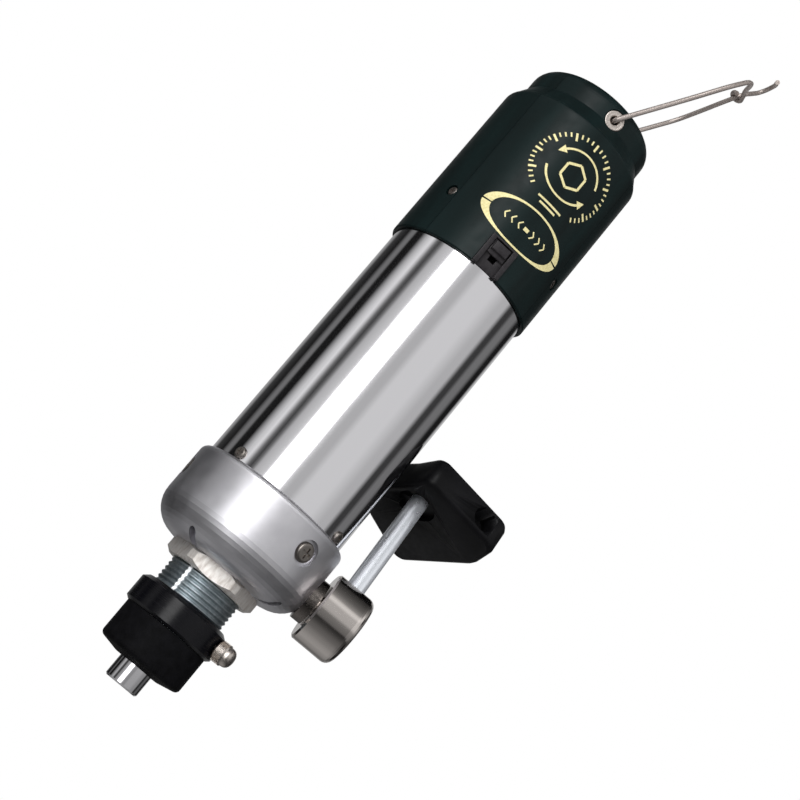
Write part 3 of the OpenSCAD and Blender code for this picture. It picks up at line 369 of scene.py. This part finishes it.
def makeNose():
    nose = {"bore": 10, "root": 11.55, "crest": 12, "pitch": 1.5, "bottom": 15.6, "chamfer": 0.5,
            "threadTop": 38, "runout": (0.6, 1.4), "flange": 16, "flangeLow": 45.5, "top": 49}
    tooth = {"start": 0.9, "flat": 0.14, "sunk": 0.05, "steps": 56}
    bore, root, crest, bottom = nose["bore"], nose["root"], nose["crest"], nose["bottom"]
    core = turned("noseCore", [(bore, bottom), (root - nose["chamfer"], bottom),
                               (root, bottom + nose["chamfer"]),
                               (root, nose["threadTop"] + nose["runout"][0]),
                               (crest, nose["threadTop"] + nose["runout"][1]), (crest, nose["flangeLow"]),
                               (nose["flange"], nose["flangeLow"]), (nose["flange"], nose["top"]),
                               (bore, nose["top"])])
    # one tooth, carried round as a screw
    clearSelection()
    bpy.ops.mesh.primitive_circle_add(vertices=4, radius=1, location=(0, 0, 0))
    thread = named("noseRidge")
    low, half = bottom + tooth["start"], nose["pitch"] / 2
    corners = [(root - tooth["sunk"], low - half + tooth["sunk"]), (crest, low - tooth["flat"]),
               (crest, low + tooth["flat"]), (root - tooth["sunk"], low + half - tooth["sunk"])]
    for vertex, (r, z) in zip(thread.data.vertices, corners):
        vertex.co = (r * mm, 0, z * mm)
    turns = int((nose["threadTop"] - bottom) / nose["pitch"])
    addModifier(thread, "SCREW", angle=2 * pi, screw_offset=nose["pitch"] * mm, iterations=turns,
                steps=tooth["steps"], render_steps=tooth["steps"], use_merge_vertices=True,
                merge_threshold=0.000001)
    # the tooth's two ends are closed
    bpy.ops.object.mode_set(mode="EDIT")
    bpy.ops.mesh.select_all(action="DESELECT")
    bpy.ops.mesh.select_mode(type="VERT")
    bpy.ops.mesh.select_non_manifold()
    bpy.ops.mesh.edge_face_add()
    bpy.ops.mesh.select_all(action="SELECT")
    bpy.ops.mesh.normals_make_consistent(inside=False)
    bpy.ops.object.mode_set(mode="OBJECT")
    finished(joined("threadedNosePiece", [core, thread]), "housing", paint["zinc_steel"],
             ["threaded_nose"], 30)


makeNose()
print("threaded nose made")


def makeBail():
    bail = {"wire": 1.6, "lean": 31, "pivot": (2, 220.3), "leg": 47, "half": 22.91, "inner": 18.0,
            "elbow": 1, "smooth": 8}
    lean, leg, q = radians(bail["lean"]), bail["leg"], bail["half"]

    def at(p, across, off=0):
        # p mm along the leaning leg from its pivot, across the tool, and off the plane of the bail
        return Vector((bail["pivot"][0] + p * sin(lean) + off * cos(lean), across,
                       bail["pivot"][1] + p * cos(lean) - off * sin(lean))) * mm

    def elbow(side):
        bend = bail["elbow"]
        turn = [radians(a) for a in range(0, 91, 18)]
        return ([at(0, side * bail["inner"])]
                + [at(bend - bend * cos(a), side * (q - bend + bend * sin(a))) for a in turn])

    # each wire runs from its eyelet up the leg; the front one is bent into the hook that the rear one closes
    routes = {
        "bailFront": elbow(-1) + [at(leg / 2, -q), at(leg - 1, -q + 0.3), at(leg + 4, -q + 5),
                                  at(leg + 8, -q + 12), at(leg + 13, 1), at(leg + 15, 7.2, 1.1),
                                  at(leg + 15.2, 9.6, 1.5), at(leg + 14.6, 10.9, 0.2),
                                  at(leg + 14.0, 10.3, -1.3), at(leg + 13.7, 8.4, -1.6),
                                  at(leg + 13.7, 7.0, -0.8)],
        "bailRear": elbow(1) + [at(leg / 2, q + 1), at(leg - 8, q + 2.4), at(leg, q + 2.4),
                                at(leg + 5, q - 2), at(leg + 12, q - 11),
                                at(leg + 16, 8.7), at(leg + 23, 13), at(leg + 28, 15.5), at(leg + 29.5, 11),
                                at(leg + 26, 1.5)],
    }
    wires = []
    for name, points in routes.items():
        clearSelection()
        bpy.ops.curve.primitive_nurbs_path_add(location=(0, 0, 0))
        curve = named(name)
        curve.data.splines.clear()
        line = curve.data.splines.new("BEZIER")
        line.bezier_points.add(len(points) - 1)
        for knot, point in zip(line.bezier_points, points):
            knot.co = point
            knot.handle_left_type = knot.handle_right_type = "AUTO"
        line.resolution_u = bail["smooth"]
        curve.data.bevel_depth = bail["wire"] / 2 * mm
        curve.data.bevel_resolution = 5
        curve.data.use_fill_caps = True
        bpy.ops.object.convert(target="MESH")
        wires.append(bpy.context.object)
    finished(joined("bailPiece", wires), "hanging_bail", paint["bail_wire"], ["bail"], 60)


makeBail()
print("bail made")


def softened(name, node, width):
    # a copy of a node, merged, with its sharp edges rounded where a width is given
    clearSelection()
    piece = frame["nodes"][node].copy()
    piece.data = piece.data.copy()
    bpy.context.collection.objects.link(piece)
    piece.parent = None
    piece.matrix_world = frame["nodes"][node].matrix_world
    piece.name = name
    editMode(piece)
    bpy.ops.mesh.select_all(action="SELECT")
    bpy.ops.mesh.remove_doubles(threshold=0.000002)
    bpy.ops.mesh.dissolve_limited(angle_limit=radians(0.5))
    bpy.ops.object.mode_set(mode="OBJECT")
    if width:
        addModifier(piece, "BEVEL", width=width * mm, segments=2, limit_method="ANGLE",
                    angle_limit=radians(30), use_clamp_overlap=True)
    return piece


finished(softened("handKnobPiece", "hand_knob", 0), "handle", knobPaint, ["hand_knob"], 40)
print("knob made")


def makeSwitch():
    switch = {"edge": 0.18, "sliderEdge": 0.22}
    finished(softened("switchFramePiece", "switch_frame", switch["edge"]), "housing", paint["switch_plastic"],
             ["switch_frame"], 40)
    finished(softened("switchSliderPiece", "direction_slider", switch["sliderEdge"]), "slider",
             paint["switch_plastic"], ["direction_slider"], 40)


makeSwitch()
print("direction switch made")


def makeEyelets():
    eyelet = {"x": 2, "z": 220.3, "seat": 21.2, "flange": 3.3, "rim": 0.42, "rimLift": 0.05, "undercut": 0.1,
              "barrel": 1.85, "bore": 1.25, "depth": 2.9, "roll": 0.55, "rollLift": 0.12}
    inner, outer, rim, roll = eyelet["bore"], eyelet["flange"], eyelet["rim"], eyelet["roll"]
    profile = ([(inner, -eyelet["depth"]), (eyelet["barrel"], -eyelet["depth"]), (eyelet["barrel"], 0),
                (outer - eyelet["undercut"], 0)]
               + roundCorner((outer - rim, eyelet["rimLift"] + rim * 0.5), rim, -40, 120, 6)
               + roundCorner((inner + roll, eyelet["rollLift"]), roll, 75, 180, 6))
    first = turned("eyeletNear", profile, 64)
    placed(first, Matrix.Translation((eyelet["x"] * mm, -eyelet["seat"] * mm, eyelet["z"] * mm))
           @ Matrix.Rotation(radians(90), 4, "X"))
    # the far one is a copy, turned half round the tool
    clearSelection()
    second = first.copy()
    second.data = first.data.copy()
    bpy.context.collection.objects.link(second)
    placed(second, Matrix.Rotation(radians(180), 4, "Z"))
    placed(second, Matrix.Translation((2 * eyelet["x"] * mm, 0, 0)))
    finished(joined("eyeletPieces", [first, second]), "housing", eyeletSteel,
             ["bail_eyelets"], 40)


makeEyelets()
print("eyelets made")


def makeRingScrew():
    screw = {"angle": 62, "z": 24.5, "shank": 1.5, "tip": 12.2, "seat": 15.6, "length": 5.6, "ribs": 22,
             "head": 3.4, "foot": 2.9, "neck": 3.0, "ribbed": 2.9, "chamfer": 0.4, "dome": 1.8,
             "grooveIn": 0.06, "grooveDeep": 0.22}
    r, chamfer, dome = screw["head"], screw["chamfer"], screw["dome"]
    low, high, ribTop = screw["seat"], screw["seat"] + screw["length"], screw["seat"] + screw["ribbed"]
    profile = ([(0, screw["tip"]), (screw["shank"] - chamfer, screw["tip"]),
                (screw["shank"], screw["tip"] + chamfer), (screw["shank"], low), (screw["foot"], low),
                (r, low + chamfer), (r, ribTop), (screw["neck"], ribTop + chamfer)]
               + roundCorner((screw["neck"] - dome, high - dome), dome, 0, 90, 6) + [(0, high)])
    piece = turned("ringScrewPiece", profile, screw["ribs"] * 2)
    across = 2 * pi / (screw["ribs"] * 2)

    def groove(face):
        # every second face round the ribbed band
        centre = face.calc_center_median() / mm
        around = int((atan2(centre.y, centre.x) + 2 * pi + 0.001) / across)
        return abs(face.normal.z) < 0.3 and low + chamfer < centre.z < ribTop and around % 2 == 0

    editMode(piece, groove)
    bpy.ops.mesh.inset(thickness=screw["grooveIn"] * mm, depth=-screw["grooveDeep"] * mm, use_individual=True)
    bpy.ops.object.mode_set(mode="OBJECT")
    placed(piece, radial(screw["angle"], screw["z"]))
    finished(piece, "dial", knurledNickel, ["ring_screw"], 30)


makeRingScrew()
print("ring screw made")


def strip(rows, cover):
    # a ribbon between two rows of points, (across, up) in mm, laid round the cover
    low, high = rows
    clearSelection()
    bpy.ops.mesh.primitive_grid_add(x_subdivisions=len(low) - 1, y_subdivisions=1, size=1, location=(0, 0, 0))
    ribbon = bpy.context.object
    for vertex, (u, z) in zip(ribbon.data.vertices, low + high):
        angle, out = u / cover["radius"], cover["radius"] + cover["lift"]
        vertex.co = (out * sin(angle) * mm, -out * cos(angle) * mm, z * mm)
    return ribbon


def ovalRows(centre, half, thin, thick, start, end, steps):
    # a band round an oval, thicker towards its two ends
    rows = [[], []]
    for k in range(steps + 1):
        a = radians(start + (end - start) * k / steps)
        wide = thin + (thick - thin) * abs(cos(a)) ** 3
        for row, part in zip(rows, (0, -wide)):
            row.append((centre[0] + (half[0] + part) * cos(a), centre[1] + (half[1] + part * 0.75) * sin(a)))
    return rows


def barRows(start, end, width, taper=1.0, steps=4):
    # a straight bar from start to end, its width times taper at the end
    (u0, z0), (u1, z1) = start, end
    length = hypot(u1 - u0, z1 - z0)
    across = (-(z1 - z0) / length, (u1 - u0) / length)
    rows = [[], []]
    for k in range(steps + 1):
        t = k / steps
        wide = width / 2 * (1 + (taper - 1) * t)
        for row, sign in zip(rows, (-1, 1)):
            row.append((u0 + (u1 - u0) * t + sign * wide * across[0],
                        z0 + (z1 - z0) * t + sign * wide * across[1]))
    return rows


def makeMarks():
    cover = {"radius": 25.2, "lift": 0.035, "ink": 0.05}
    oval = {"centre": (2.0, 173.6), "half": (16.5, 6.9), "thin": 0.8, "thick": 3.2, "split": 2.5}
    chevron = {"each": 3, "pitch": 2.6, "reach": 0.5, "rise": 1.3, "wide": 0.42, "bar": (0.9, 1.2)}
    dial = {"centre": (2.6, 196.2), "half": (14.6, 12.9), "ticks": 48, "every": 4, "long": 2.5, "short": 1.4,
            "bold": 0.7, "wide": 0.5, "open": -0.82}
    arrow = {"half": (9.4, 8.3), "wide": 0.8, "start": 18, "end": 140, "tip": (9.0, 8.0), "length": 2.5,
             "barb": 2.6}
    socket = {"corner": 4.3, "wide": 0.8}
    bars = {"widths": (9.5, 6.4), "drops": (-11.6, -13.0), "wide": 0.65}
    rows = []
    for half in (0, 180):
        rows.append(ovalRows(oval["centre"], oval["half"], oval["thin"], oval["thick"],
                             half + oval["split"], half + 180 - oval["split"], 48))
    # chevrons inside the oval, pointing away from a bar in the middle
    u, z = oval["centre"]
    for side in (-1, 1):
        for k in range(1, chevron["each"] + 1):
            middle, reach = u + side * chevron["pitch"] * k, side * chevron["reach"]
            for rise in (-chevron["rise"], chevron["rise"]):
                rows.append(barRows((middle - reach, z + rise), (middle + reach, z), chevron["wide"]))
    long, wide = chevron["bar"]
    rows.append(barRows((u - long, z), (u + long, z), wide))
    # a scale of ticks round the upper place, open below
    u, z = dial["centre"]
    for k in range(dial["ticks"]):
        a = 2 * pi * k / dial["ticks"]
        if sin(a) < dial["open"]:
            continue
        major = k % dial["every"] == 0
        deep = dial["long"] if major else dial["short"]
        outer, inner = [(u + (dial["half"][0] - part) * cos(a), z + (dial["half"][1] - part) * sin(a))
                        for part in (0, deep)]
        rows.append(barRows(outer, inner, dial["bold"] if major else dial["wide"], steps=1))
    # two turning arrows round a six-sided socket mark
    for turn in (0, 180):
        rows.append(ovalRows((u, z), arrow["half"], arrow["wide"], arrow["wide"],
                             turn + arrow["start"], turn + arrow["end"], 24))
        a = radians(turn + arrow["end"])
        tip = (u + arrow["tip"][0] * cos(a), z + arrow["tip"][1] * sin(a))
        point = (tip[0] - arrow["length"] * sin(a), tip[1] + arrow["length"] * cos(a))
        rows.append(barRows(tip, point, arrow["barb"], 0.05, 3))
    corners = [(u + socket["corner"] * cos(radians(a)), z + socket["corner"] * sin(radians(a)))
               for a in range(30, 391, 60)]
    for k in range(6):
        rows.append(barRows(corners[k], corners[k + 1], socket["wide"], steps=2))
    for width, drop in zip(bars["widths"], bars["drops"]):
        rows.append(barRows((u - width / 2, z + drop), (u + width / 2, z + drop), bars["wide"], steps=8))
    marks = joined("goldMarkPiece", [strip(pair, cover) for pair in rows])
    editMode(marks)
    bpy.ops.mesh.select_all(action="SELECT")
    bpy.ops.mesh.normals_make_consistent(inside=False)
    bpy.ops.object.mode_set(mode="OBJECT")
    addModifier(marks, "SOLIDIFY", thickness=cover["ink"] * mm, offset=0)
    finished(marks, "housing", goldInk, (), 30)


makeMarks()
print("printed marks made")


def makeCamera():
    view = {"place": (-70.922, -459.808, -0.183), "turn": (107.930, -38.202, -21.316), "lens": 72,
            "sensor": 36, "shift": (-0.0015, 0.0011), "clip": (0.01, 20)}
    data = bpy.data.cameras.new("viewCamera")
    camera = bpy.data.objects.new("viewCamera", data)
    bpy.context.scene.collection.objects.link(camera)
    camera.location = Vector(view["place"]) * mm
    camera.rotation_euler = [radians(a) for a in view["turn"]]
    data.lens, data.sensor_width = view["lens"], view["sensor"]
    data.shift_x, data.shift_y = view["shift"]
    data.clip_start, data.clip_end = view["clip"]
    bpy.context.scene.camera = camera


def makeWorld():
    # a pale tent with one strip lamp. Polished metal also sees its cards and black flags, which stand
    # round the tool at these angles from where the camera faces
    tent = {"level": 0.75, "soft": (0.9, 0.9, 0.92, 1), "facing": -8.8, "even": 0.8,
            "stripsEnd": (0.5, 0.75), "behind": (-0.15, 0.35), "overhead": (0.5, 0.65), "flagLeaves": 0.08,
            "below": (-0.05, -0.25), "tableGlow": 0.2}
    lamp, card, pale, grey, dusk, flag = 5.5, 0.7, 0.5, 0.18, 0.045, 0.01
    around = [(-180, pale), (-152, 0.26), (-142, dusk), (-122, flag), (-113, grey), (-107, grey),
              (-103, flag), (-91, flag), (-81, pale), (-70, 0.85), (-63, grey), (-58, dusk), (-53, grey),
              (-49, pale), (-34, card), (-27, lamp), (-9, lamp), (-4, card), (4, pale), (13, pale),
              (22, card), (52, card), (72, pale), (84, pale), (92, dusk), (101, dusk), (108, grey),
              (120, grey), (132, flag), (146, flag), (158, pale)]
    # and from underneath to overhead the tent is this bright
    heights = [(-1, 0.35), (-0.87, 0.2), (-0.6, 0.1), (-0.43, 0.06), (-0.35, 0.3), (-0.02, 0.45),
               (0.08, 0.85), (0.14, 1.0), (0.5, 1.05), (0.62, 1.3), (0.7, 1.05), (0.79, 0.42),
               (0.93, 0.18), (1, 0.1)]
    world = bpy.data.worlds.new("studioTent")
    bpy.context.scene.world = world
    world.use_nodes = True
    tree = world.node_tree
    tree.nodes.clear()
    way = addNode(tree, "ShaderNodeTexCoord").outputs["Generated"]
    axes = addNode(tree, "ShaderNodeSeparateXYZ", links={"Vector": way})
    front = addNode(tree, "ShaderNodeMath", {1: -1.0}, {0: axes.outputs["Y"]}, operation="MULTIPLY")
    angle = addNode(tree, "ShaderNodeMath", links={0: axes.outputs["X"], 1: front.outputs[0]},
                    operation="ARCTAN2").outputs[0]
    middle = radians(tent["facing"])
    flat = addNode(tree, "ShaderNodeMapRange", {"From Min": middle - pi, "From Max": middle + pi},
                   {"Value": angle}).outputs[0]
    strips = addNode(tree, "ShaderNodeValToRGB", links={"Fac": flat},
                     stops=[(0.5 + a / 360, c) for a, c in around]).outputs["Color"]
    high = addNode(tree, "ShaderNodeMapRange", {"From Min": -1.0, "From Max": 1.0},
                   {"Value": axes.outputs["Z"]})
    shade = addNode(tree, "ShaderNodeValToRGB", links={"Fac": high.outputs[0]},
                    stops=[((h + 1) / 2, v) for h, v in heights]).outputs["Color"]
    # the strips end above and below, where the tent is even
    steep = addNode(tree, "ShaderNodeMath", links={0: axes.outputs["Z"]}, operation="ABSOLUTE").outputs[0]
    even = addNode(tree, "ShaderNodeMapRange", dict(zip(("From Min", "From Max"), tent["stripsEnd"])),
                   {"Value": steep}).outputs[0]
    mixed = addNode(tree, "ShaderNodeMix", {"B": (tent["even"],) * 3 + (1,)}, {"Factor": even, "A": strips},
                    data_type="RGBA").outputs["Result"]
    # a black flag hangs behind the tool, overhead
    back = addNode(tree, "ShaderNodeMapRange", dict(zip(("From Min", "From Max"), tent["behind"])),
                   {"Value": axes.outputs["Y"]})
    over = addNode(tree, "ShaderNodeMapRange", dict(zip(("From Min", "From Max"), tent["overhead"])),
                   {"Value": axes.outputs["Z"]})
    hung = addNode(tree, "ShaderNodeMath", links={0: back.outputs[0], 1: over.outputs[0]},
                   operation="MULTIPLY")
    clear = addNode(tree, "ShaderNodeMapRange", {"To Min": 1.0, "To Max": tent["flagLeaves"]},
                    {"Value": hung.outputs[0]})
    dimmed = addNode(tree, "ShaderNodeMath", links={0: shade, 1: clear.outputs[0]}, operation="MULTIPLY")
    # and a pale table stands behind and below it
    below = addNode(tree, "ShaderNodeMapRange", {"From Min": tent["below"][0], "From Max": tent["below"][1],
                                                 "To Max": tent["tableGlow"]}, {"Value": axes.outputs["Z"]})
    table = addNode(tree, "ShaderNodeMath", links={0: back.outputs[0], 1: below.outputs[0]},
                    operation="MULTIPLY")
    level = addNode(tree, "ShaderNodeMath", links={0: dimmed.outputs[0], 1: table.outputs[0]},
                    operation="ADD").outputs[0]
    # diffuse rays see soft light, polished metal sees the tent, and the camera sees white
    rays = addNode(tree, "ShaderNodeLightPath")
    soft = addNode(tree, "ShaderNodeBackground", {"Color": tent["soft"], "Strength": tent["level"]})
    mirrored = addNode(tree, "ShaderNodeBackground", links={"Color": mixed, "Strength": level})
    white = addNode(tree, "ShaderNodeBackground", {"Color": (1, 1, 1, 1), "Strength": 1.0})
    glossy = addNode(tree, "ShaderNodeMixShader", links={0: rays.outputs["Is Glossy Ray"],
                                                          1: soft.outputs[0], 2: mirrored.outputs[0]})
    seen = addNode(tree, "ShaderNodeMath", links={0: rays.outputs["Is Camera Ray"],
                                                  1: rays.outputs["Is Transmission Ray"]},
                   operation="MAXIMUM")
    last = addNode(tree, "ShaderNodeMixShader", links={0: seen.outputs[0], 1: glossy.outputs[0],
                                                       2: white.outputs[0]})
    addNode(tree, "ShaderNodeOutputWorld", links={"Surface": last.outputs[0]})


def makeLamps():
    # places in metres; all of them point at the middle of the tool
    aim = Vector((0.01, 0, 0.12))
    lamps = {
        "keyPanel": {"place": (-0.55, -0.75, 0.45), "size": 0.5, "power": 9},
        "fillPanel": {"place": (0.8, -0.6, 0.2), "size": 0.6, "power": 4},
        "topPanel": {"place": (0.1, 0.3, 0.95), "size": 0.6, "power": 5},
    }
    for name, lamp in lamps.items():
        data = bpy.data.lights.new(name, "AREA")
        data.size, data.energy = lamp["size"], lamp["power"]
        light = bpy.data.objects.new(name, data)
        bpy.context.scene.collection.objects.link(light)
        light.location = lamp["place"]
        light.visible_glossy = False     # polished metal sees the tent, which has its own strip lamp
        light.rotation_euler = (aim - light.location).to_track_quat("-Z", "Y").to_euler()


def makeFloor():
    floor = {"height": -0.6, "size": 8}
    clearSelection()
    bpy.ops.mesh.primitive_plane_add(size=floor["size"], location=(0, 0, floor["height"]))
    plane = placed(named("studioFloor"))
    material, tree, shader, place = startMaterial("paintedFloor", "#f4f4f4", 0.0, 0.8)
    patterned(tree, shader, tone=(pattern(tree, place, 60, 3), [(0.3, "#f2f2f2"), (0.7, "#f8f8f8")]))
    plane.data.materials.append(material)
    plane.visible_glossy = False         # what metal sees from below is the tent's lower half


makeCamera()
makeWorld()
makeLamps()
makeFloor()
bpy.context.scene.view_settings.view_transform = "Standard"
print("camera, lamps and floor made")
